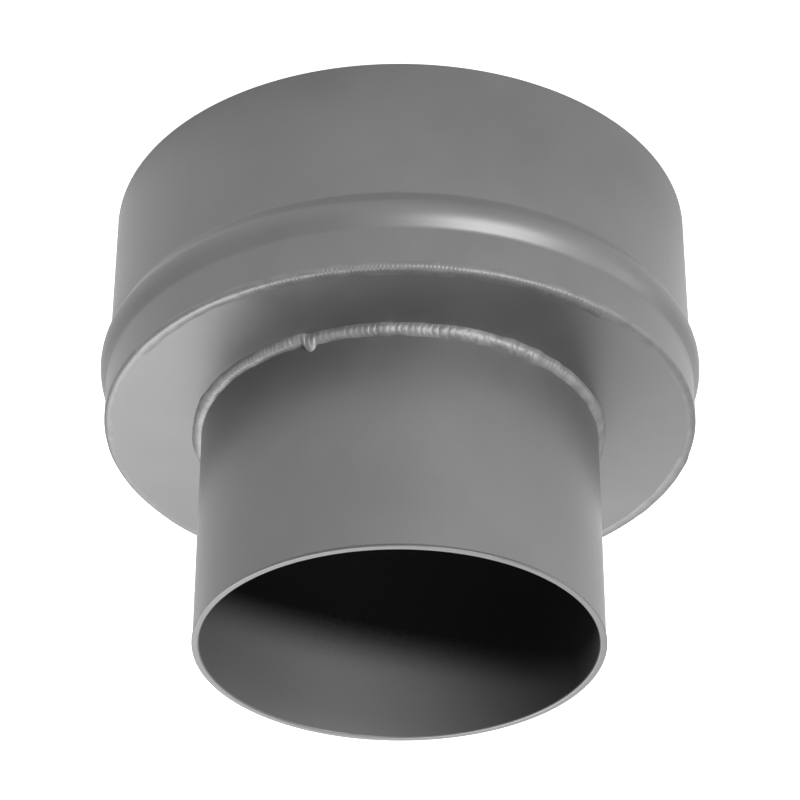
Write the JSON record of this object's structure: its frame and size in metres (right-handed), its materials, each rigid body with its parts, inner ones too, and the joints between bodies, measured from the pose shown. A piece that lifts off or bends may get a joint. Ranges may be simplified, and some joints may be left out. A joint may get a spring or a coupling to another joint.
{
  "type": "stove pipe extension",
  "caption": "Welded steel stove pipe enlarger: a wide tube with a rolled stop bead, a flat ring plate across its end and a narrow tube standing in the middle of the plate.",
  "frame": {"origin": "centre of the wide rim, the face that the piece stands on", "axes": "+Z along the tubes' common axis, from the wide rim to the narrow rim; the picture shows the piece turned upside down, with the wide rim at the top of the picture and -Y towards the camera"},
  "size_m": [0.1892, 0.1892, 0.15],
  "materials": {
    "flue_paint": "satin cast-grey heat-proof paint",
    "painted_weld": "satin cast-grey heat-proof paint over weld ripples"
  },
  "bodies": {
    "root": {"wide_tube": "flue_paint", "narrow_tube": "flue_paint", "ring_plate": "flue_paint", "corner_weld": "painted_weld", "fillet_weld": "painted_weld", "wide_seam_weld": "painted_weld", "narrow_seam_weld": "painted_weld"}
  },
  "joints": []
}
